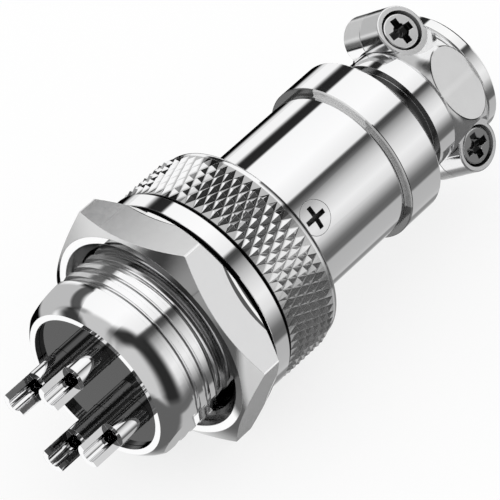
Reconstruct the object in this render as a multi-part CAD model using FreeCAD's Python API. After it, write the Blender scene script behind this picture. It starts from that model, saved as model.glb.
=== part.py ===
import FreeCAD, Part
import math
import os

# A mated pair of 16 mm circular connectors: a rear-nut panel socket and a cable plug.
# The connector axis is +X, from the solder cups to the cable clamp.
# The origin is on that axis, in the plane of the flange face that seats on the panel.
# Lengths are millimetres, and angles are degrees about +X, from +Y towards +Z.

# Fits
running_clearance = 0.06
assembly_clearance = 0.03

# Receptacle shell
thread_radius = 8.0
thread_pitch = 1.17
thread_depth = 0.32
thread_flank_length = 0.1
thread_crest_length = 0.52
rear_thread_length = 7.94
shoulder_length = 2.76
shoulder_end_flat = 0.2
shoulder_bulge_share = 0.38
shoulder_bulge_drop = 0.36
shoulder_lip_radius = 6.78
rear_bore_radius = 6.26
flange_inset = 0.06
flange_thickness = 1.57
flange_edge_round = 0.05
thread_relief_length = 0.55
panel_flat_distance = 7.35
panel_flat_angle = 35.5
insulator_stop_thickness = 1.0
insulator_stop_radius = 5.6
socket_cavity_radius = 6.05

# Receptacle insulator and contacts
contact_count = 4
contact_circle_radius = 3.85
contact_first_angle = 15.0
contact_shift_across = -0.25
contact_shift_up = -0.28
insulator_recess = 0.5
contact_collar_radius = 1.08
contact_pin_radius = 0.75
contact_pin_length = 5.6
contact_pin_tip_radius = 0.25
cup_projection = 5.35
cup_bore_radius = 0.55
cup_bore_depth = 4.2
cup_notch_length = 2.7
cup_notch_angle = 137.5
cup_notch_turns = (-6.5, 6.5, 6.5, -6.5)

# Panel nut and washer
nut_overhang = 0.255
nut_thickness = 3.8
nut_sides = 6
nut_face_inset = 0.275
nut_chamfer_length = 1.05
nut_countersink = 0.8
nut_flat_angle = 90.0
washer_thickness = 0.3
washer_radius = 9.0
washer_gap = 0.05

# Coupling ring and its diamond knurl
ring_gap = 0.3
ring_wall = 1.52
ring_knurl_length = 5.28
knurl_depth = 0.3
knurl_cells_round = 68
knurl_steps_along = 6
ring_rim_length = 0.6
ring_rim_drop = 0.32
ring_rim_round = 0.35
ring_lip_thickness = 0.8

# Plug insert sleeve, key and insulator
sleeve_clearance = 0.1
sleeve_wall = 0.55
sleeve_tail_wall = 0.57
sleeve_nose_gap = 0.4
mating_gap = 0.17
sleeve_shoulder_step = 0.57
sleeve_shoulder_thickness = 0.9
sleeve_tail_cover = 0.19
key_width = 1.5
key_depth = 0.35
key_angle = 125.5
key_clearance = 0.1
key_slot_depth = 1.0
plug_insulator_length = 9.4
socket_outer_radius = 1.0
socket_wall = 0.19
socket_bore_spare_length = 0.5
socket_tail_length = 3.2
socket_notch_length = 2.56
socket_mouth_inset = 0.3

# Barrel and set screw
barrel_wall = 0.83
barrel_length = 12.35
collar_step = 0.55
collar_length = 3.86
collar_round = 0.15
collar_edge_chamfer = 0.05
set_screw_radius = 1.45
set_screw_setback = 2.54
set_screw_slot_width = 0.42
set_screw_slot_length = 2.0
set_screw_slot_depth = 0.5

# Cable clamp
clamp_angle = 149.4
tail_length = 5.6
tail_groove_length = 2.3
tail_groove_radius = 4.75
neck_length = 1.87
neck_radius = 5.47
cable_bore_radius = 3.6
clamp_length = 4.2
clamp_front_step = 0.25
clamp_crown_radius = 6.42
clamp_rear_step = 0.2
clamp_flat_height = 5.5
clamp_rim_length = 1.15
clamp_rim_radius = 5.75
clamp_rim_round = 0.3
boss_radius = 2.12
boss_spacing = 11.6
boss_face_tilt = 17.0
boss_position = 2.1
boss_top = 3.05
boss_bottom = 2.3
boss_edge_round = 0.12
boss_pocket_margin = 0.15
boss_pocket_flare = 1.1

# Clamp screws
screw_head_radius = 1.58
screw_head_height = 1.0
screw_head_round = 0.15
screw_head_recess = 0.1
screw_head_gap = 0.19
screw_radius = 0.8
screw_end_inset = 0.5
screw_slot_width = 0.66
screw_slot_length = 2.3
screw_slot_depth = 0.6
screw_recess_radius = 0.7
screw_recess_point_radius = 0.2
screw_recess_depth = 0.85
screw_turns = {1: 0.0, -1: -6.0}

# Worked-out radii
thread_root_radius = thread_radius - thread_depth
thread_groove_length = thread_pitch - thread_crest_length - 2 * thread_flank_length
female_thread_radius = thread_radius + running_clearance
ring_knurl_radius = female_thread_radius + ring_wall
knurl_root_radius = ring_knurl_radius - knurl_depth
ring_rim_radius = ring_knurl_radius - ring_rim_drop
flange_radius = ring_knurl_radius - flange_inset
nut_across_flats = 2 * (flange_radius + nut_overhang)
nut_corner_radius = nut_across_flats / 2 / math.cos(math.pi / nut_sides)
nut_face_radius = nut_across_flats / 2 - nut_face_inset
sleeve_radius = socket_cavity_radius - sleeve_clearance
sleeve_bore_radius = sleeve_radius - sleeve_wall
sleeve_tail_radius = sleeve_bore_radius + sleeve_tail_wall
barrel_bore_radius = sleeve_tail_radius + assembly_clearance
barrel_radius = barrel_bore_radius + barrel_wall
sleeve_shoulder_radius = barrel_radius + sleeve_shoulder_step
collar_radius = barrel_radius + collar_step
ring_lip_radius = barrel_radius + running_clearance
set_screw_depth = barrel_wall - assembly_clearance
socket_bore_radius = socket_outer_radius - socket_wall
screw_counterbore_radius = screw_head_radius + screw_head_gap

# Worked-out places along the axis
shell_rear = -(rear_thread_length + shoulder_length)
insulator_rear = shell_rear + insulator_recess
cavity_floor = -0.4
stop_rear = cavity_floor - insulator_stop_thickness
cup_tip = shell_rear - cup_projection
nut_far = -(washer_thickness + 2 * washer_gap)
nut_near = nut_far - nut_thickness
ring_near = flange_thickness + ring_gap
ring_rim_start = ring_near + ring_knurl_length
ring_far = ring_rim_start + ring_rim_length
sleeve_front = cavity_floor + sleeve_nose_gap
shoulder_rear = ring_far - ring_lip_thickness - running_clearance
shoulder_front = shoulder_rear - sleeve_shoulder_thickness
shell_front = shoulder_front - mating_gap
plug_insulator_front = sleeve_front + socket_mouth_inset
plug_insulator_rear = plug_insulator_front + plug_insulator_length
socket_rear = plug_insulator_rear + socket_tail_length
sleeve_rear = socket_rear + sleeve_tail_cover
barrel_front = shoulder_rear
collar_front = barrel_front + barrel_length
collar_rear = collar_front + collar_length
set_screw_place = ring_far + set_screw_setback
neck_front = collar_rear + tail_groove_length
neck_rear = neck_front + neck_length
clamp_front = neck_rear
clamp_rim_front = clamp_front + clamp_length
clamp_rear = clamp_rim_front + clamp_rim_length
boss_place = clamp_front + boss_position

# Worked-out heights of the clamp screws
screw_top = boss_top - screw_head_recess
screw_seat = screw_top - screw_head_height
screw_end = -boss_bottom + screw_end_inset

# How far a cutting tool runs past what it cuts
overshoot = 1.0

AXIS = FreeCAD.Vector(1, 0, 0)
ORIGIN = FreeCAD.Vector(0, 0, 0)


def polar(x, radius, angle):
    """Point at a radius and an angle about the connector axis."""
    turn = math.radians(angle)
    return FreeCAD.Vector(x, radius * math.cos(turn), radius * math.sin(turn))


def direction(angle):
    """Unit vector across the axis at an angle."""
    return polar(0, 1, angle)


def turned(outline):
    """Solid of revolution about the axis; a step is (x, r) or (through, end) for an arc."""
    edges = []
    start = last = FreeCAD.Vector(outline[0][0], outline[0][1], 0)
    for step in outline[1:]:
        if isinstance(step[0], tuple):
            through = FreeCAD.Vector(step[0][0], step[0][1], 0)
            end = FreeCAD.Vector(step[1][0], step[1][1], 0)
            edges.append(Part.Arc(last, through, end).toShape())
        else:
            end = FreeCAD.Vector(step[0], step[1], 0)
            edges.append(Part.LineSegment(last, end).toShape())
        last = end
    edges.append(Part.LineSegment(last, start).toShape())
    return Part.Face(Part.Wire(edges)).revolve(ORIGIN, AXIS, 360)


def arc_inset(radius):
    """How far the middle of a quarter round lies inside each of the two sides it joins."""
    return radius * (1 - math.sqrt(0.5))


def rod(radius, x_start, x_end, place=ORIGIN):
    """Cylinder along the axis between two stations."""
    return Part.makeCylinder(radius, x_end - x_start, FreeCAD.Vector(x_start, place.y, place.z), AXIS)


def block(length, width, height, base, angle):
    """Box with its length along the axis and its height from the base point outward at an angle."""
    box = Part.makeBox(length, width, height, FreeCAD.Vector(0, -width / 2, 0))
    box.rotate(ORIGIN, AXIS, angle - 90)
    box.translate(base)
    return box


def thread_outline(x_start, x_end):
    """Outline points of a thread: a flat-bottomed groove, then a ridge, once for each turn."""
    turns = int((x_end - x_start - thread_flank_length) / thread_pitch)
    points = []
    for turn in range(turns):
        groove_start = x_start + turn * thread_pitch + thread_flank_length
        groove_end = groove_start + thread_groove_length
        points.append((groove_start, thread_root_radius))
        points.append((groove_end, thread_root_radius))
        points.append((groove_end + thread_flank_length, thread_radius))
        points.append((groove_end + thread_flank_length + thread_crest_length, thread_radius))
    points.append((x_start + turns * thread_pitch + thread_flank_length, thread_root_radius))
    return points


def make_receptacle_shell():
    thread_start = shell_rear + shoulder_length
    shoulder_mid = (shell_rear + shoulder_length * shoulder_bulge_share,
                    thread_radius - shoulder_bulge_drop)
    outline = [(shell_rear, rear_bore_radius), (shell_rear, shoulder_lip_radius)]
    outline.append((shoulder_mid, (thread_start - shoulder_end_flat, thread_radius)))
    outline.append((thread_start, thread_radius))
    outline += thread_outline(thread_start, -thread_relief_length)
    flange_side_radius = flange_radius - flange_edge_round
    outline += [(0, thread_root_radius), (0, flange_side_radius), (flange_edge_round, flange_radius)]
    outline += [(flange_thickness - flange_edge_round, flange_radius)]
    outline += [(flange_thickness, flange_side_radius), (flange_thickness, thread_root_radius)]
    outline += thread_outline(flange_thickness + thread_relief_length, shell_front)
    outline += [(shell_front, thread_root_radius), (shell_front, socket_cavity_radius)]
    outline += [(cavity_floor, socket_cavity_radius), (cavity_floor, insulator_stop_radius)]
    outline += [(stop_rear, insulator_stop_radius), (stop_rear, rear_bore_radius)]
    shell = turned(outline)
    for angle in (panel_flat_angle, panel_flat_angle + 180):
        base = direction(angle) * panel_flat_distance + AXIS * (shell_rear - overshoot)
        shell = shell.cut(block(-shell_rear + overshoot, 2 * thread_radius, thread_radius, base, angle))
    rib_base = direction(key_angle) * (socket_cavity_radius - key_depth) + AXIS * cavity_floor
    rib = block(shell_front - cavity_floor, key_width, key_depth + overshoot / 2, rib_base, key_angle)
    return shell.fuse(rib).removeSplitter()


def make_receptacle_insulator():
    body = turned([(insulator_rear, 0), (insulator_rear, rear_bore_radius - assembly_clearance),
                   (stop_rear - assembly_clearance, rear_bore_radius - assembly_clearance),
                   (stop_rear - assembly_clearance, insulator_stop_radius - assembly_clearance),
                   (cavity_floor, insulator_stop_radius - assembly_clearance), (cavity_floor, 0)])
    for index in range(contact_count):
        place = contact_place(index)
        body = body.cut(rod(contact_collar_radius + assembly_clearance, insulator_rear - overshoot,
                            cavity_floor + overshoot, place))
    return body


def contact_place(index):
    """Centre of one contact across the axis, on a circle that is set a little off the axis."""
    on_circle = polar(0, contact_circle_radius, contact_first_angle + index * 360 / contact_count)
    return on_circle + FreeCAD.Vector(0, contact_shift_across, contact_shift_up)


def make_contact_pin(index):
    pin_end = cavity_floor + contact_pin_length
    nose = contact_pin_radius - contact_pin_tip_radius
    nose_middle = (pin_end - arc_inset(nose), contact_pin_radius - arc_inset(nose))
    body = turned([(cup_tip, 0), (cup_tip, contact_collar_radius), (cavity_floor, contact_collar_radius),
                   (cavity_floor, contact_pin_radius), (pin_end - nose, contact_pin_radius),
                   (nose_middle, (pin_end, contact_pin_tip_radius)), (pin_end, 0)])
    body = body.cut(rod(cup_bore_radius, cup_tip - overshoot, cup_tip + cup_bore_depth))
    notch = block(cup_notch_length + overshoot, 4 * contact_collar_radius, 2 * contact_collar_radius,
                  AXIS * (cup_tip - overshoot), cup_notch_angle + cup_notch_turns[index])
    body = body.cut(notch)
    body.translate(contact_place(index))
    return body


def make_panel_nut():
    corners = []
    for index in range(nut_sides + 1):
        angle = nut_flat_angle + (index + 0.5) * 360 / nut_sides
        corners.append(polar(nut_near, nut_corner_radius, angle))
    hexagon = Part.Face(Part.makePolygon(corners)).extrude(AXIS * nut_thickness)
    limit = turned([(nut_near, 0), (nut_near, nut_face_radius),
                    (nut_near + nut_chamfer_length, nut_corner_radius),
                    (nut_far - nut_chamfer_length, nut_corner_radius),
                    (nut_far, nut_face_radius), (nut_far, 0)])
    sink_radius = female_thread_radius + nut_countersink + overshoot
    hole = turned([(nut_near - overshoot, 0), (nut_near - overshoot, sink_radius),
                   (nut_near + nut_countersink, female_thread_radius),
                   (nut_far + overshoot, female_thread_radius), (nut_far + overshoot, 0)])
    return hexagon.common(limit).cut(hole)


def make_panel_washer():
    near = nut_far + washer_gap
    far = near + washer_thickness
    return turned([(near, female_thread_radius), (near, washer_radius),
                   (far, washer_radius), (far, female_thread_radius)])


def knurl_point(row, column):
    """Corner of the knurl's grid: pyramid tips and roots take turns, and both ends stay at the root."""
    is_tip = (row + column) % 2 == 1 and 0 < row < knurl_steps_along
    radius = ring_knurl_radius if is_tip else knurl_root_radius
    step = ring_knurl_length / knurl_steps_along
    return polar(ring_near + row * step, radius, column * 180 / knurl_cells_round)


def knurl_facets(row, column):
    """Two flat triangles of one grid cell, split along the line between its roots."""
    corners = [knurl_point(row, column), knurl_point(row + 1, column),
               knurl_point(row + 1, column + 1), knurl_point(row, column + 1)]
    if (row + column) % 2 == 1:
        corners = corners[1:] + corners[:1]
    first, second, third, fourth = corners
    triangles = [(first, second, third, first), (first, third, fourth, first)]
    return [Part.Face(Part.makePolygon(triangle)) for triangle in triangles]


def make_knurled_blank():
    """Solid bar whose outside is a band of diamond pyramids."""
    columns = 2 * knurl_cells_round
    faces = []
    for row in range(knurl_steps_along):
        for column in range(columns):
            faces += knurl_facets(row, column)
    for row in (0, knurl_steps_along):
        rim = [knurl_point(row, column) for column in range(columns + 1)]
        faces.append(Part.Face(Part.makePolygon(rim)))
    skin = Part.Shell(faces)
    skin.sewShape()
    return Part.Solid(skin)


def make_coupling_ring():
    lip_front = ring_far - ring_lip_thickness
    inset = arc_inset(ring_rim_round)
    rim = turned([(ring_rim_start, 0), (ring_rim_start, ring_rim_radius),
                  (ring_far - ring_rim_round, ring_rim_radius),
                  ((ring_far - inset, ring_rim_radius - inset),
                   (ring_far, ring_rim_radius - ring_rim_round)), (ring_far, 0)])
    hole = turned([(ring_near - overshoot, 0), (ring_near - overshoot, female_thread_radius),
                   (lip_front, female_thread_radius), (lip_front, ring_lip_radius),
                   (ring_far + overshoot, ring_lip_radius), (ring_far + overshoot, 0)])
    return make_knurled_blank().fuse(rim).cut(hole)


def make_plug_insert_sleeve():
    sleeve = turned([(sleeve_front, sleeve_bore_radius), (sleeve_front, sleeve_radius),
                     (shoulder_front, sleeve_radius), (shoulder_front, sleeve_shoulder_radius),
                     (shoulder_rear, sleeve_shoulder_radius), (shoulder_rear, sleeve_tail_radius),
                     (sleeve_rear, sleeve_tail_radius), (sleeve_rear, sleeve_bore_radius)])
    slot_base = direction(key_angle) * (socket_cavity_radius - key_depth - key_clearance)
    slot = block(shoulder_front - sleeve_front + overshoot, key_width + 2 * key_clearance, key_slot_depth,
                 slot_base + AXIS * (sleeve_front - overshoot), key_angle)
    return sleeve.cut(slot)


def make_plug_insulator():
    body = rod(sleeve_bore_radius - assembly_clearance, plug_insulator_front, plug_insulator_rear)
    for index in range(contact_count):
        body = body.cut(rod(socket_outer_radius + assembly_clearance, plug_insulator_front - overshoot,
                            plug_insulator_rear + overshoot, contact_place(index)))
    return body


def make_socket_contact(index):
    front = plug_insulator_front
    pin_end = cavity_floor + contact_pin_length
    body = rod(socket_outer_radius, front, socket_rear)
    body = body.cut(rod(socket_bore_radius, front - overshoot, pin_end + socket_bore_spare_length))
    body = body.cut(rod(cup_bore_radius, plug_insulator_rear, socket_rear + overshoot))
    notch = block(socket_notch_length + overshoot, 4 * socket_outer_radius, 2 * socket_outer_radius,
                  AXIS * (socket_rear - socket_notch_length), cup_notch_angle)
    body = body.cut(notch)
    body.translate(contact_place(index))
    return body


def set_screw_body(radius, depth):
    """Round plug across the barrel wall, with its outer end on the barrel's surface."""
    base = direction(clamp_angle) * (barrel_radius - depth) + AXIS * set_screw_place
    plug = Part.makeCylinder(radius, depth + overshoot, base, direction(clamp_angle))
    return plug.common(rod(barrel_radius, set_screw_place - 2 * radius, set_screw_place + 2 * radius))


def make_plug_barrel():
    bore = barrel_bore_radius
    inset = arc_inset(collar_round)
    barrel = turned([(barrel_front, bore), (barrel_front, barrel_radius), (collar_front, barrel_radius),
                     (collar_front, collar_radius - collar_edge_chamfer),
                     (collar_front + collar_edge_chamfer, collar_radius),
                     (collar_rear - collar_round, collar_radius),
                     ((collar_rear - inset, collar_radius - inset),
                      (collar_rear, collar_radius - collar_round)), (collar_rear, bore)])
    base = direction(clamp_angle) * (bore - overshoot) + AXIS * set_screw_place
    hole = Part.makeCylinder(set_screw_radius + assembly_clearance, 2 * overshoot + barrel_wall,
                             base, direction(clamp_angle))
    return barrel.cut(hole)


def cross_slots(width, length, depth, top, angle, turn):
    """Two crossed bars that sink into a screw's head from its top point, turned about the screw."""
    floor = top - direction(angle) * depth
    along = block(length, width, depth + overshoot, floor - AXIS * (length / 2), angle)
    across = block(width, length, depth + overshoot, floor - AXIS * (width / 2), angle)
    cross = along.fuse(across)
    cross.rotate(top, direction(angle), turn)
    return cross


def make_barrel_set_screw():
    screw = set_screw_body(set_screw_radius, set_screw_depth)
    top = direction(clamp_angle) * barrel_radius + AXIS * set_screw_place
    return screw.cut(cross_slots(set_screw_slot_width, set_screw_slot_length, set_screw_slot_depth,
                                 top, clamp_angle, 0))


def screw_angle(side):
    """Angle of a clamp screw, square to its boss's face, which leans outward."""
    return clamp_angle + side * boss_face_tilt


def boss_top_centre(side):
    """Middle of a screw boss's face."""
    across = direction(clamp_angle + 90) * (side * boss_spacing / 2)
    return across + direction(clamp_angle) * boss_top + AXIS * boss_place


def screw_point(side, height):
    """Point on a clamp screw's axis, which meets its boss's face at the height boss_top."""
    return boss_top_centre(side) + direction(screw_angle(side)) * (height - boss_top)


def screw_rod(side, radius, height_start, height_end):
    """Cylinder on a clamp screw's axis between two heights."""
    return Part.makeCylinder(radius, height_end - height_start, screw_point(side, height_start),
                             direction(screw_angle(side)))


def round_top(solid, centre, reach, edge_round):
    """The solid with a round on the edge that runs about a centre."""
    edges = [edge for edge in solid.Edges if (edge.CenterOfMass - centre).Length < reach]
    return solid.makeFillet(edge_round, edges)


def make_boss(side):
    """Screw boss that stands along the clamp's direction and ends in a leaning face."""
    top = boss_top_centre(side)
    bottom = top - direction(clamp_angle) * (boss_top + boss_bottom)
    boss = Part.makeCylinder(boss_radius, boss_top + boss_bottom + boss_radius,
                             bottom, direction(clamp_angle))
    room = block(4 * boss_radius, 4 * boss_radius, 2 * boss_radius, top - AXIS * (2 * boss_radius),
                 screw_angle(side))
    return round_top(boss.cut(room), top, boss_radius / 2, boss_edge_round)


def make_boss_pocket(side):
    """Room above a screw boss, which widens as it leaves the boss."""
    foot = boss_radius + boss_pocket_margin
    return Part.makeCone(foot, foot + boss_pocket_flare, clamp_crown_radius - boss_top,
                         boss_top_centre(side), direction(screw_angle(side)))


def clamp_outer():
    """Outer form of both clamp halves: a crowned band, two screw bosses and the end rim."""
    crown_x = clamp_front + clamp_length / 2
    band = turned([(clamp_front, 0), (clamp_front, neck_radius - clamp_front_step),
                   ((crown_x, clamp_crown_radius), (clamp_rim_front, clamp_rim_radius - clamp_rear_step)),
                   (clamp_rim_front, 0)])
    for side in (1, -1):
        band = band.cut(make_boss_pocket(side)).fuse(make_boss(side))
    rim = turned([(clamp_rim_front, 0), (clamp_rim_front, clamp_rim_radius),
                  (clamp_rear - clamp_rim_round, clamp_rim_radius),
                  (clamp_rear, clamp_rim_radius - clamp_rim_round), (clamp_rear, 0)])
    return band.fuse(rim)


def half_space(angle):
    """Block that holds one side of the clamp's split plane."""
    size = 2 * (boss_spacing + boss_radius)
    return block(clamp_rear - clamp_front + 2 * overshoot, size, size,
                 AXIS * (clamp_front - overshoot), angle)


def make_clamp_body():
    tail_start = collar_rear - tail_length
    tail_radius = barrel_bore_radius - assembly_clearance
    tail = turned([(tail_start, 0), (tail_start, tail_radius), (collar_rear, tail_radius),
                   (collar_rear, tail_groove_radius), (neck_front, tail_groove_radius),
                   (neck_front, neck_radius), (neck_rear, neck_radius), (neck_rear, 0)])
    body = tail.fuse(clamp_outer().common(half_space(clamp_angle + 180)))
    body = body.cut(rod(cable_bore_radius, tail_start - overshoot, clamp_rear + overshoot))
    for side in (1, -1):
        body = body.cut(screw_rod(side, screw_radius + assembly_clearance,
                                  screw_end - assembly_clearance, boss_top))
    return body.removeSplitter()


def make_clamp_saddle():
    saddle = clamp_outer().common(half_space(clamp_angle))
    saddle = saddle.cut(rod(cable_bore_radius, clamp_front - overshoot, clamp_rear + overshoot))
    flat = block(clamp_length, 2 * clamp_crown_radius, clamp_crown_radius,
                 direction(clamp_angle) * clamp_flat_height + AXIS * clamp_front, clamp_angle)
    saddle = saddle.cut(flat)
    for side in (1, -1):
        saddle = saddle.cut(screw_rod(side, screw_radius + assembly_clearance, -boss_bottom, boss_top))
        saddle = saddle.cut(screw_rod(side, screw_counterbore_radius, screw_seat, boss_top + overshoot))
    saddle.translate(AXIS * assembly_clearance)
    return saddle


def make_clamp_screw(side):
    """Round-headed screw with a cross recess round a pointed centre."""
    outward = direction(screw_angle(side))
    top = screw_point(side, screw_top)
    head = screw_rod(side, screw_head_radius, screw_seat, screw_top)
    head = round_top(head, top, screw_head_height / 2, screw_head_round)
    screw = head.fuse(screw_rod(side, screw_radius, screw_end, screw_seat))
    arms = cross_slots(screw_slot_width, screw_slot_length, screw_slot_depth, top,
                       screw_angle(side), screw_turns[side])
    point = Part.makeCone(screw_recess_point_radius, screw_recess_radius, screw_recess_depth,
                          top - outward * screw_recess_depth, outward)
    return screw.cut(arms).cut(point)


def make_clamp_screws():
    """Both screws, as a group of separate solids."""
    return Part.makeCompound([make_clamp_screw(side) for side in (1, -1)])


def build():
    """All nodes by name."""
    nodes = {
        "receptacle_shell": make_receptacle_shell(),
        "receptacle_insulator": make_receptacle_insulator(),
        "panel_nut": make_panel_nut(),
        "panel_washer": make_panel_washer(),
        "coupling_ring": make_coupling_ring(),
        "plug_insert_sleeve": make_plug_insert_sleeve(),
        "plug_insulator": make_plug_insulator(),
        "plug_barrel": make_plug_barrel(),
        "barrel_set_screw": make_barrel_set_screw(),
        "clamp_body": make_clamp_body(),
        "clamp_saddle": make_clamp_saddle(),
        "clamp_screws": make_clamp_screws(),
    }
    for index in range(contact_count):
        nodes["contact_pin_" + str(index + 1)] = make_contact_pin(index)
        nodes["socket_contact_" + str(index + 1)] = make_socket_contact(index)
    return nodes


os.makedirs("parts", exist_ok=True)
for name, shape in build().items():
    shape.exportStep("parts/" + name + ".step")
    print(name, "solids", len(shape.Solids), "volume", round(shape.Volume, 2), "valid", shape.isValid())
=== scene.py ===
import math

import bpy
from mathutils import Matrix, Vector


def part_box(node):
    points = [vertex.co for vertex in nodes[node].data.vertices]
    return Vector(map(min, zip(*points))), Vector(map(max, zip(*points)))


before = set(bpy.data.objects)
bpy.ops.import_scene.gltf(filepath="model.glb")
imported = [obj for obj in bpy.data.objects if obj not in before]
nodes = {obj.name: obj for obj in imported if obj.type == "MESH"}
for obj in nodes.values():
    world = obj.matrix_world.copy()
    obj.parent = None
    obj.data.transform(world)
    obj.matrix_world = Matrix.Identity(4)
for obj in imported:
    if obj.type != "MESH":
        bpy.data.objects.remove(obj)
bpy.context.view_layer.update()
MM = 0.001

# Power between a grey level as it shows and its linear value
display_power = 2.2

# Sockets of the mix node for each kind of value: first input, second input and output
mix_sockets = {"RGBA": (6, 7, 2), "FLOAT": (2, 3, 0)}


# Camera: the photograph's long lens, looking down along the connector from the solder cups
def make_camera():
    azimuth = math.radians(-39.116)
    elevation = math.radians(38.884)
    roll = math.radians(-14.932)
    distance = 323.35 * MM
    target = Vector((7.63, -0.19, -0.18)) * MM
    forward = Vector((-math.sin(azimuth) * math.cos(elevation), math.cos(azimuth) * math.cos(elevation),
                      -math.sin(elevation)))
    data = bpy.data.cameras.new("camera")
    data.lens = 291.95
    data.sensor_width = 36.0
    data.clip_start = 0.01
    data.clip_end = 10.0
    camera = bpy.data.objects.new("camera", data)
    upright = forward.to_track_quat("-Z", "Y").to_matrix().to_4x4()
    place = Matrix.Translation(target - forward * distance)
    camera.matrix_world = place @ upright @ Matrix.Rotation(roll, 4, "Z")
    bpy.context.scene.collection.objects.link(camera)
    bpy.context.scene.camera = camera


def new_tree(name):
    """Empty material with its output node."""
    material = bpy.data.materials.new(name)
    material.use_nodes = True
    tree = material.node_tree
    tree.nodes.clear()
    output = tree.nodes.new("ShaderNodeOutputMaterial")
    return material, tree, output


def add(tree, kind, **settings):
    """New node of a kind, with its settings, such as operation."""
    node = tree.nodes.new(kind)
    for key, value in settings.items():
        setattr(node, key, value)
    return node


def feed(tree, socket, value):
    """Links an output to an input, or sets the input to a number or a colour."""
    if isinstance(value, bpy.types.NodeSocket):
        tree.links.new(value, socket)
    else:
        socket.default_value = value


def calculate(tree, operation, *values):
    """Result of a math node."""
    node = add(tree, "ShaderNodeMath", operation=operation)
    for socket, value in zip(node.inputs, values):
        feed(tree, socket, value)
    return node.outputs["Value"]


def calculate_vector(tree, operation, vector, other=None):
    """Vector math node for a linked vector and, where the operation needs one, a constant vector."""
    node = add(tree, "ShaderNodeVectorMath", operation=operation)
    tree.links.new(vector, node.inputs[0])
    if other is not None:
        node.inputs[1].default_value = other
    return node


def remap(tree, value, low, high, to_low=0.0, to_high=1.0):
    """Smooth step from one value to another, held at both ends."""
    node = add(tree, "ShaderNodeMapRange", interpolation_type="SMOOTHSTEP")
    feed(tree, node.inputs["Value"], value)
    for socket, number in zip(node.inputs[1:5], (low, high, to_low, to_high)):
        socket.default_value = number
    return node.outputs["Result"]


def window(tree, value, start, end, soft):
    """One between two values and zero outside them, with soft edges."""
    rise = remap(tree, value, start - soft, start + soft)
    fall = remap(tree, value, end - soft, end + soft, 1.0, 0.0)
    return calculate(tree, "MULTIPLY", rise, fall)


def blend(tree, kind, factor, first, second):
    """Mix of two colours, kind RGBA, or of two numbers, kind FLOAT."""
    node = add(tree, "ShaderNodeMix", data_type=kind)
    first_input, second_input, result = mix_sockets[kind]
    feed(tree, node.inputs["Factor"], factor)
    feed(tree, node.inputs[first_input], first)
    feed(tree, node.inputs[second_input], second)
    return node.outputs[result]


def blend_shaders(tree, factor, first, second, output):
    """Surface of the output node, mixed from two shaders."""
    mix = add(tree, "ShaderNodeMixShader")
    feed(tree, mix.inputs["Fac"], factor)
    tree.links.new(first, mix.inputs[1])
    tree.links.new(second, mix.inputs[2])
    tree.links.new(mix.outputs["Shader"], output.inputs["Surface"])


def grey(level):
    """Linear colour that shows as a grey level between 0 and 1."""
    return (level ** display_power, level ** display_power, level ** display_power, 1.0)


def across(angle):
    """Direction square to the connector axis at an angle from +Y towards +Z."""
    return (0.0, math.cos(math.radians(angle)), math.sin(math.radians(angle)))


# Cosines from which a surface counts as facing a direction: usual, strict, and loose enough for a chamfer
face_limit = 0.98
flat_limit = 0.999
chamfer_limit = 0.8

# How far below that cosine the mask fades out
face_soft = 0.02


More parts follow.
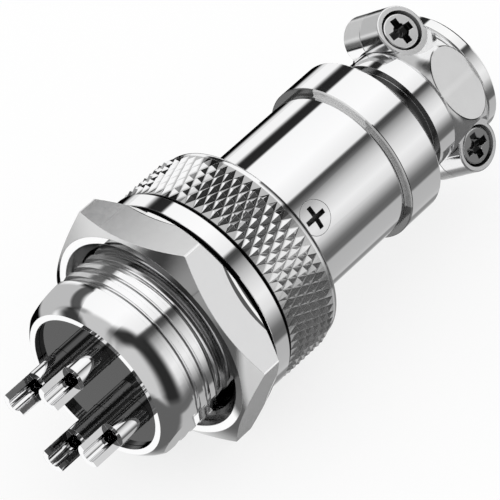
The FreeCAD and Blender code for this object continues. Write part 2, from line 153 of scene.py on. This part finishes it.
class Place:
    """Own coordinates of a surface point, for finishes and painted light and shade that cover only part of a
    piece.
    """

    def __init__(self, tree):
        self.tree = tree
        self.coordinates = add(tree, "ShaderNodeTexCoord").outputs["Object"]
        split = add(tree, "ShaderNodeSeparateXYZ")
        tree.links.new(self.coordinates, split.inputs["Vector"])
        self.x = calculate(tree, "DIVIDE", split.outputs["X"], MM)
        y_squared = calculate(tree, "MULTIPLY", split.outputs["Y"], split.outputs["Y"])
        z_squared = calculate(tree, "MULTIPLY", split.outputs["Z"], split.outputs["Z"])
        from_axis = calculate(tree, "SQRT", calculate(tree, "ADD", y_squared, z_squared))
        self.radius = calculate(tree, "DIVIDE", from_axis, MM)

    def facing(self, direction, limit):
        """One where the surface faces a direction, within the angle whose cosine is the limit."""
        normal = add(self.tree, "ShaderNodeNewGeometry").outputs["True Normal"]
        cosine = calculate_vector(self.tree, "DOT_PRODUCT", normal, direction).outputs["Value"]
        return remap(self.tree, cosine, limit - face_soft, limit)

    def along(self, direction, point=(0.0, 0.0, 0.0)):
        """Offset from a point along a direction, and distance from the line they make, in millimetres."""
        tree = self.tree
        start = [value * MM for value in point]
        offset = calculate_vector(tree, "SUBTRACT", self.coordinates, start).outputs["Vector"]
        height = calculate_vector(tree, "DOT_PRODUCT", offset, direction).outputs["Value"]
        sideways = calculate_vector(tree, "CROSS_PRODUCT", offset, direction).outputs["Vector"]
        distance = calculate_vector(tree, "LENGTH", sideways).outputs["Value"]
        return calculate(tree, "DIVIDE", height, MM), calculate(tree, "DIVIDE", distance, MM)

    def mask(self, x=None, radius=None, face=None, limit=face_limit, off_face=None, repeat=None, slab=None,
             line=None, leaf=None, soft=0.02):
        """One inside a zone of the piece, which is where all the given limits hold.

        Lengths are in millimetres. x and radius are ranges, and face and off_face are directions that the
        surface faces or doesn't face. repeat is a first place, a pitch and a range within it. slab is a range
        along a direction. line is a range along a line and a range of distance from it. leaf is a range of x
        that shifts as the radius grows past that of a flat's middle.
        """
        tree = self.tree
        factors = []
        if x is not None:
            factors.append(window(tree, self.x, *x, soft))
        if radius is not None:
            factors.append(window(tree, self.radius, *radius, soft))
        if face is not None:
            factors.append(self.facing(face, limit))
        if off_face is not None:
            factors.append(calculate(tree, "SUBTRACT", 1.0, self.facing(off_face, flat_limit)))
        if repeat is not None:
            first, pitch, start, end = repeat
            offset = calculate(tree, "FLOORED_MODULO", calculate(tree, "SUBTRACT", self.x, first), pitch)
            factors.append(window(tree, offset, start, end, soft))
        if slab is not None:
            direction, low, high = slab
            factors.append(window(tree, self.along(direction)[0], low, high, soft))
        if line is not None:
            point, direction, low, high, near, far = line
            height, distance = self.along(direction, point)
            factors.append(window(tree, height, low, high, soft))
            factors.append(window(tree, distance, near, far, soft))
        if leaf is not None:
            flat_radius, start, end, shift = leaf
            past_flat = calculate(tree, "SUBTRACT", self.radius, flat_radius)
            shifted = calculate(tree, "SUBTRACT", self.x, calculate(tree, "MULTIPLY", past_flat, shift))
            factors.append(window(tree, shifted, start, end, soft))
        factor = factors[0]
        for other in factors[1:]:
            factor = calculate(tree, "MULTIPLY", factor, other)
        return factor


def zone(colour, rough=None, metallic=None, **limits):
    """Zone with a finish of its own, which may be painted light and shade, inside the limits of Place.mask;
    None keeps the piece's value.
    """
    return {"colour": colour, "rough": rough, "metallic": metallic, "limits": limits}


def metal(name, colour, rough, metallic=1.0, noise_scale=900.0, noise_share=0.35, edge=0.04, zones=None):
    """Plated metal with rounded edges and slightly varied roughness; zones have a finish of their own, many
    of them painted light and shade.
    """
    noise_detail = 4.0
    noise_range = (0.3, 0.7)
    cool_share = 1.005
    material, tree, output = new_tree(name)
    shader = add(tree, "ShaderNodeBsdfPrincipled")
    place = Place(tree)
    noise = add(tree, "ShaderNodeTexNoise")
    noise.inputs["Scale"].default_value = noise_scale
    noise.inputs["Detail"].default_value = noise_detail
    tree.links.new(place.coordinates, noise.inputs["Vector"])
    tint = (colour, colour, colour * cool_share, 1.0)
    base_rough = rough
    metal_share = metallic
    for part in (zones or {}).values():
        mask = place.mask(**part["limits"])
        level = part["colour"]
        part_rough = rough if part["rough"] is None else part["rough"]
        part_metallic = metallic if part["metallic"] is None else part["metallic"]
        tint = blend(tree, "RGBA", mask, tint, (level, level, level, 1.0))
        base_rough = blend(tree, "FLOAT", mask, base_rough, part_rough)
        metal_share = blend(tree, "FLOAT", mask, metal_share, part_metallic)
    spread = remap(tree, noise.outputs["Fac"], *noise_range, 1.0 - noise_share, 1.0 + noise_share)
    bevel = add(tree, "ShaderNodeBevel", samples=4)
    bevel.inputs["Radius"].default_value = edge * MM
    feed(tree, shader.inputs["Base Color"], tint)
    feed(tree, shader.inputs["Metallic"], metal_share)
    feed(tree, shader.inputs["Roughness"], calculate(tree, "MULTIPLY", base_rough, spread))
    tree.links.new(bevel.outputs["Normal"], shader.inputs["Normal"])
    tree.links.new(shader.outputs["BSDF"], output.inputs["Surface"])
    return material


def plastic(name, level, rough):
    """Dark moulded plastic with a faint grain."""
    grain_scale = 700.0
    grain_contrast = 1.2
    material, tree, output = new_tree(name)
    shader = add(tree, "ShaderNodeBsdfPrincipled")
    coordinates = add(tree, "ShaderNodeTexCoord")
    noise = add(tree, "ShaderNodeTexNoise")
    noise.inputs["Scale"].default_value = grain_scale
    tree.links.new(coordinates.outputs["Object"], noise.inputs["Vector"])
    tint = blend(tree, "RGBA", noise.outputs["Fac"], grey(level), grey(level * grain_contrast))
    feed(tree, shader.inputs["Base Color"], tint)
    feed(tree, shader.inputs["Roughness"], rough)
    feed(tree, shader.inputs["IOR"], 1.55)
    tree.links.new(shader.outputs["BSDF"], output.inputs["Surface"])
    return material


# Studio: what polished metal reflects. A ray's turn is its angle round the connector axis in degrees,
# from +Y towards +Z, and its reach is how far it leans towards the cable end, from -1 to 1.
# The stops give the level at each turn.
full_turn = 360.0
band_stops = [(0, 0.97), (22, 0.97), (29, 0.3), (32, 0.16), (46, 0.18), (49, 0.98), (96, 1.0), (124, 0.93),
              (127, 0.3), (131, 0.28), (135, 0.38), (139, 0.56), (148, 0.74), (158, 0.85), (176, 0.94),
              (192, 0.87), (200, 0.72), (207, 0.58), (213, 0.44), (220, 0.38), (228, 0.40), (232, 0.69),
              (264, 0.71), (276, 0.75), (280, 0.54), (290, 0.54), (298, 0.68), (304, 0.85), (313, 0.90),
              (315, 0.05), (345, 0.05), (354, 0.9)]

# Panels in front of the bands, with their ranges of turn and reach and the softness of both.
# A range of reach that goes past -1 or 1 is open at that end. A slanted panel's turn changes with
# reach, by its slant in degrees over a reach of 1.
panels = {
    "right fill": {"turn": (348, 396), "reach": (-0.4, 0.42), "level": 0.73, "soft": (4, 0.04)},
    "strip end": {"turn": (36, 49), "reach": (-0.4, 0.42), "level": 0.33, "soft": (4, 0.04)},
    "right low": {"turn": (374, 420), "reach": (-1.2, -0.42), "level": 0.24, "soft": (9, 0.12)},
    "overhead fill": {"turn": (42, 98), "reach": (-1.2, -0.46), "level": 0.77, "soft": (7, 0.1)},
    "side light": {"turn": (101, 216), "reach": (-1.2, -0.42), "level": 0.79, "soft": (8, 0.1)},
    "side flag": {"turn": (128, 213), "reach": (-0.5, 0.1), "level": 0.18, "soft": (7, 0.18)},
    "overhead flag": {"turn": (124, 155), "reach": (-0.8, -0.14), "level": 0.2, "soft": (10, 0.2),
                      "slant": 45},
    "floor grey": {"turn": (220, 294), "reach": (-1.2, 0.0), "level": 0.38, "soft": (6, 0.1)},
    "front light": {"turn": (296, 326), "reach": (-1.2, -0.3), "level": 1.0, "soft": (3, 0.07)},
    "near end": {"turn": (-10, 325), "reach": (-1.2, -0.97), "level": 0.58, "soft": (5, 0.03)},
    "far flag": {"turn": (95, 235), "reach": (0.75, 1.2), "level": 0.2, "soft": (4, 0.07)},
}

# Turn kept free before a panel's start, so that its soft edge doesn't wrap round
turn_margin = 20.0


def make_world():
    world = bpy.data.worlds.new("studio")
    bpy.context.scene.world = world
    world.use_nodes = True
    tree = world.node_tree
    tree.nodes.clear()
    output = add(tree, "ShaderNodeOutputWorld")
    coordinates = add(tree, "ShaderNodeTexCoord")
    split = add(tree, "ShaderNodeSeparateXYZ")
    tree.links.new(coordinates.outputs["Generated"], split.inputs["Vector"])
    radians = calculate(tree, "ARCTAN2", split.outputs["Z"], split.outputs["Y"])
    turn = calculate(tree, "FLOORED_MODULO", calculate(tree, "DEGREES", radians), full_turn)
    reach = split.outputs["X"]
    ramp = add(tree, "ShaderNodeValToRGB")
    tree.links.new(calculate(tree, "DIVIDE", turn, full_turn), ramp.inputs["Fac"])
    elements = ramp.color_ramp.elements
    elements.remove(elements[-1])
    for index, (degrees, level) in enumerate(band_stops):
        element = elements[0] if index == 0 else elements.new(degrees / full_turn)
        element.position = degrees / full_turn
        element.color = grey(level)
    level = calculate(tree, "POWER", ramp.outputs["Color"], 1.0 / display_power)
    for panel in panels.values():
        turn_soft, reach_soft = panel["soft"]
        start, end = panel["turn"]
        slant = calculate(tree, "MULTIPLY", reach, panel.get("slant", 0.0))
        upright = calculate(tree, "SUBTRACT", turn, slant)
        from_margin = calculate(tree, "SUBTRACT", upright, start - turn_margin)
        past_margin = calculate(tree, "FLOORED_MODULO", from_margin, full_turn)
        mask = calculate(tree, "MULTIPLY",
                         window(tree, past_margin, turn_margin, turn_margin + end - start, turn_soft),
                         window(tree, reach, *panel["reach"], reach_soft))
        level = blend(tree, "FLOAT", mask, level, panel["level"])
    glossy = add(tree, "ShaderNodeBackground")
    tree.links.new(calculate(tree, "POWER", level, display_power), glossy.inputs["Color"])
    plain = add(tree, "ShaderNodeBackground")
    plain.inputs["Color"].default_value = grey(1.0)
    path = add(tree, "ShaderNodeLightPath")
    blend_shaders(tree, path.outputs["Is Glossy Ray"], plain.outputs["Background"],
                  glossy.outputs["Background"], output)


# Share of the floor's look that is plain white, so that the shadow stays faint
floor_glow = 0.78
floor_colour = (0.99, 0.99, 0.99, 1.0)
floor_half_size = 6.0


def make_floor():
    lowest = min(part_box(name)[0][2] for name in nodes)
    mesh = bpy.data.meshes.new("floor")
    sides = ((-1, -1), (1, -1), (1, 1), (-1, 1))
    corners = [(x * floor_half_size, y * floor_half_size, lowest) for x, y in sides]
    mesh.from_pydata(corners, [], [(0, 1, 2, 3)])
    floor = bpy.data.objects.new("floor", mesh)
    bpy.context.scene.collection.objects.link(floor)
    material, tree, output = new_tree("floor_white")
    diffuse = add(tree, "ShaderNodeBsdfDiffuse")
    diffuse.inputs["Color"].default_value = floor_colour
    plain = add(tree, "ShaderNodeEmission")
    plain.inputs["Color"].default_value = grey(1.0)
    path = add(tree, "ShaderNodeLightPath")
    share = calculate(tree, "MULTIPLY", path.outputs["Is Camera Ray"], floor_glow)
    blend_shaders(tree, share, diffuse.outputs["BSDF"], plain.outputs["Emission"], output)
    mesh.materials.append(material)
    floor.visible_glossy = False


# Directions that surfaces face
near_face = (-1.0, 0.0, 0.0)
far_face = (1.0, 0.0, 0.0)
towards_y = (0.0, 1.0, 0.0)
away_y = (0.0, -1.0, 0.0)
down = (0.0, 0.0, -1.0)
nut_top = across(90)
thread_flat = across(35.5)
clamp_angle = 149.4
screw_lean = 17.0
clamp_up = across(clamp_angle)
clamp_sideways = across(clamp_angle + 90)
lower_screw = across(clamp_angle + screw_lean)
upper_screw = across(clamp_angle - screw_lean)

# Clamp screws: the middle of each boss's face, and the direction that its screw leans in
boss_x = 29.37
boss_offset = 5.8
boss_height = 3.05
screws = {}
for name, side, direction in (("lower", 1, lower_screw), ("upper", -1, upper_screw)):
    middle_y, middle_z = [side * boss_offset * clamp_sideways[k] + boss_height * clamp_up[k] for k in (1, 2)]
    screws[name] = ((boss_x, middle_y, middle_z), direction)

# Ranges and sizes that more than one zone uses, in millimetres
near_face_radius = (7.9, 9.6)
thread = (-8.0, -0.1)
thread_start = -7.94
thread_pitch = 1.17
step = (19.05, 19.4)
step_radius = (6.5, 7.6)
step_side = (away_y, 4.6, 9.0)
nut_flat_radius = 9.775
saddle = (20.0, 31.45)

# Finishes, with light and shade painted into many zones. Where zones of a piece overlap, the later one covers
# the earlier one.
chrome_colour = 0.97
chrome_rough = 0.025
chrome = metal("polished_chrome", chrome_colour, chrome_rough)

shell_chrome = metal("shell_chrome", chrome_colour, chrome_rough, edge=0.02, zones={
    # Painted shade: the black gap between the flange and the coupling ring, and the flange's near face behind
    # the nut, made nearly black
    "painted shade at flange edge": zone(0.02, rough=0.3, x=(1.49, 1.7), radius=(9.0, 9.7)),
    "painted shade on flange near face": zone(0.02, rough=0.3, x=(-0.05, 0.05), radius=near_face_radius, face=near_face),
    # Painted shade: the thread's side towards +Y made greyer and less metallic
    "painted shade side": zone(0.54, metallic=0.76, x=(-7.8, -0.3), slab=(towards_y, -0.4, 9.0), soft=0.3),
    # Painted shade: dark lines at the groove starts and roots of the thread, and darker flanks facing the nut
    "painted shade lines in grooves": zone(0.03, x=thread, radius=(7.6, 7.97), off_face=thread_flat,
                         repeat=(thread_start, thread_pitch, -0.02, 0.06)),
    "painted shade lines at roots": zone(0.12, x=thread, radius=(7.6, 7.72), off_face=thread_flat,
                       repeat=(thread_start, thread_pitch, 0.5, 0.53)),
    "painted shade on near flanks": zone(0.4, x=thread, radius=(7.6, 8.1), face=near_face),
    "thread flat": zone(0.72, rough=0.1, metallic=0.35, x=thread, face=thread_flat, limit=flat_limit),
    # Painted shade: dark lines across the thread's flat, one for each turn
    "painted shade lines on the flat": zone(0.05, x=thread, face=thread_flat, limit=flat_limit,
                              repeat=(thread_start, thread_pitch, -0.02, 0.04)),
})

clamp_chrome = metal("clamp_chrome", 0.95, 0.06, noise_share=0.1, zones={
    # Painted shade: the groove in the tail made dark
    "painted shade in tail groove": zone(0.1, rough=0.2, x=(23.0, 25.38), radius=(0.0, 7.5)),
    "bosses": zone(0.9, rough=0.14, metallic=0.8, x=(27.3, 31.45), radius=(5.3, 9.5)),
})

barrel_chrome = metal("barrel_chrome", chrome_colour, chrome_rough, edge=0.01, zones={
    # Painted light and shade on the barrel's step: grey overall, a painted highlight on one part, painted
    # shade at its end and underneath
    "step": zone(0.5, rough=0.1, metallic=0.35, x=step, radius=step_radius),
    "painted highlight on the step": zone(0.72, rough=0.1, metallic=0.2, x=step, radius=step_radius,
                                   slab=(towards_y, -4.1, 1.2), soft=0.04),
    "painted shade at the step's end": zone(0.12, rough=0.1, metallic=0.5, x=step, radius=step_radius,
                                 slab=(towards_y, 1.2, 9.0), soft=0.04),
    "painted shade on the lower step": zone(0.2, rough=0.1, metallic=0.5, x=step, radius=step_radius,
                                   slab=(down, 1.8, 9.0), soft=0.04),
    # Painted shade: thin dark lines along the step's inner and outer edges
    "painted shade line inside the step": zone(0.03, x=(18.98, 19.06), radius=(6.5, 6.95), slab=step_side),
    "painted shade line outside the step": zone(0.03, x=(19.39, 19.47), radius=(7.2, 7.6), slab=step_side),
})

ring_chrome = metal("knurl_chrome", 0.96, 0.035, edge=0.02, zones={
    # Painted shade: the ring's far face, and the rim on the side away from the light
    "painted shade on far face": zone(0.2, face=far_face),
    "painted shade on a side of the rim": zone(0.12, x=(7.36, 7.9), slab=(across(204), 0.0, 12.0), soft=0.12),
    # Painted shade: darker knurl roots, and the knurl's lower side made greyer
    "painted shade in knurl roots": zone(0.5, x=(1.6, 7.14), radius=(9.0, 9.33), soft=0.06),
    "painted shade on lower knurl": zone(0.72, metallic=0.87, x=(1.9, 7.14), slab=(across(200), 5.5, 12.0), soft=2.0),
    # Painted shade: the black gap at the ring's near edge and near face, next to the flange
    "painted shade at near edge": zone(0.02, rough=0.3, x=(1.7, 1.96), radius=(8.9, 9.7)),
    "near face": zone(0.03, rough=0.3, x=(1.7, 2.0), radius=near_face_radius, face=near_face),
})

nut_zones = {
    # Painted light and shade on the flats: the top flat lighter towards -Y, the lower flat darker
    "painted light on top flat": zone(0.93, metallic=0.42, face=nut_top, slab=(away_y, 0.0, 30.0), soft=6.0),
    "painted shade on lower flat": zone(0.8, metallic=0.85, face=across(210)),
    # Painted reflections of the flange's near face: dark and light crescents along the far edge of the flats,
    # where the nut has no chamfer
    "painted shade crescents": zone(0.12, rough=0.1, metallic=1.0, leaf=(nut_flat_radius, -1.0, 1.0, 0.66)),
    "deeper painted shade crescent": zone(0.12, rough=0.1, metallic=1.0, leaf=(nut_flat_radius, -1.3, 1.0, 0.95),
                            face=across(150)),
    "painted highlight crescents": zone(0.97, metallic=0.2, radius=(9.7, 10.6), leaf=(nut_flat_radius, -0.93, -0.7, 0.5)),
    "painted highlight crescent on top": zone(0.99, metallic=0.1, face=nut_top, slab=(away_y, -0.6, 9.0),
                                  leaf=(nut_flat_radius, -0.94, -0.5, 0.6), soft=0.05),
    "chamfer": zone(0.9, rough=0.07, metallic=1.0, face=near_face, limit=chamfer_limit),
    # Painted shade on the upper part of the chamfer, and painted shading on its side
    "painted shade on upper chamfer": zone(0.78, rough=0.2, metallic=0.25, face=near_face, limit=chamfer_limit,
                          slab=(across(60), 8.0, 30.0), soft=1.2),
    "painted shading on side chamfer": zone(0.85, rough=0.2, metallic=0.25, face=near_face, limit=chamfer_limit,
                         slab=(across(187), 9.55, 30.0), soft=0.4),
    # Painted highlight: light lines along the nut's corners
    "painted highlight lines on corners": zone(1.0, metallic=0.3, radius=(11.23, 12.0)),
    # Painted shade inside the nut's bore
    "bore": zone(0.3, rough=0.2, metallic=1.0, x=(-4.18, -0.3), radius=(0.0, 9.0)),
    "near face": zone(0.98, rough=0.05, metallic=1.0, face=near_face),
    # Painted shade on one side of the nut's near face
    "painted shade on part of the face": zone(0.1, face=near_face, slab=(across(155), 5.2, 12.0), soft=0.7),
}
nickel = metal("satin_nickel", 0.86, 0.2, metallic=0.8, noise_scale=2600.0, noise_share=0.1, edge=0.06,
               zones=nut_zones)
# A black washer: its black stands in for the shade in the gap between the nut and the flange
washer_black_for_shade = metal("washer_black_for_shade", 0.03, 0.4, metallic=0.0)

saddle_zones = {
    "rim": zone(0.96, rough=0.03, metallic=1.0, x=(31.46, 40.0)),
    "oval": zone(0.96, rough=0.36, metallic=0.68, x=saddle, face=clamp_up),
    # Painted light on the upper boss's face
    "painted light on upper boss face": zone(0.97, metallic=0.45, x=saddle, face=upper_screw),
    # Painted shade: a thin dark line round the oval
    "painted shade line round the oval": zone(0.1, x=saddle, radius=(5.5, 6.4), slab=(clamp_up, 5.43, 5.49)),
}
screw_zones = {
    # Painted light and shade: the upper screw head lighter, the lower one darker
    "painted light on upper head": zone(0.85, rough=0.15, metallic=0.45, face=upper_screw),
    "painted shade on lower head": zone(0.35, rough=0.1, face=lower_screw),
}
# Painted shade in each screw's counterbore and cross recess
for name, (point, direction) in screws.items():
    saddle_zones[name + " counterbore"] = zone(0.01, rough=0.5, metallic=0.0,
                                               line=(point, direction, -2.0, -0.04, -1.0, 1.8))
    screw_zones[name + " cross recess"] = zone(0.2, line=(point, direction, -5.0, -0.2, -1.0, 1.35))
saddle_chrome = metal("saddle_chrome", 0.88, 0.1, metallic=0.95, noise_share=0.05, edge=0.02,
                      zones=saddle_zones)
screw_steel = metal("screw_steel", 0.86, 0.05, noise_share=0.1, edge=0.06, zones=screw_zones)
set_screw_steel = metal("set_screw_steel", 0.9, 0.06, zones={
    # Painted shade: the set screw dark below the barrel's surface, where its cross recess is
    "cross": zone(0.03, rough=0.4, metallic=0.3, radius=(0.0, 6.72)),
})
contact_metal = metal("contact_plating", 0.96, 0.04, edge=0.02)
insulator_black = plastic("insulator_black", 0.06, 0.05)

# Words in the names of pieces and their finishes; any other piece is polished chrome
finishes = {"insulator": insulator_black, "panel_nut": nickel, "panel_washer": washer_black_for_shade,
            "coupling_ring": ring_chrome, "plug_barrel": barrel_chrome, "receptacle_shell": shell_chrome,
            "clamp_body": clamp_chrome, "clamp_saddle": saddle_chrome, "clamp_screws": screw_steel,
            "set_screw": set_screw_steel, "contact": contact_metal}
for name, node in nodes.items():
    node.data.materials.clear()
    finish = next((finishes[key] for key in finishes if key in name), chrome)
    node.data.materials.append(finish)

make_camera()
make_world()
make_floor()
bpy.context.scene.view_settings.view_transform = "Standard"
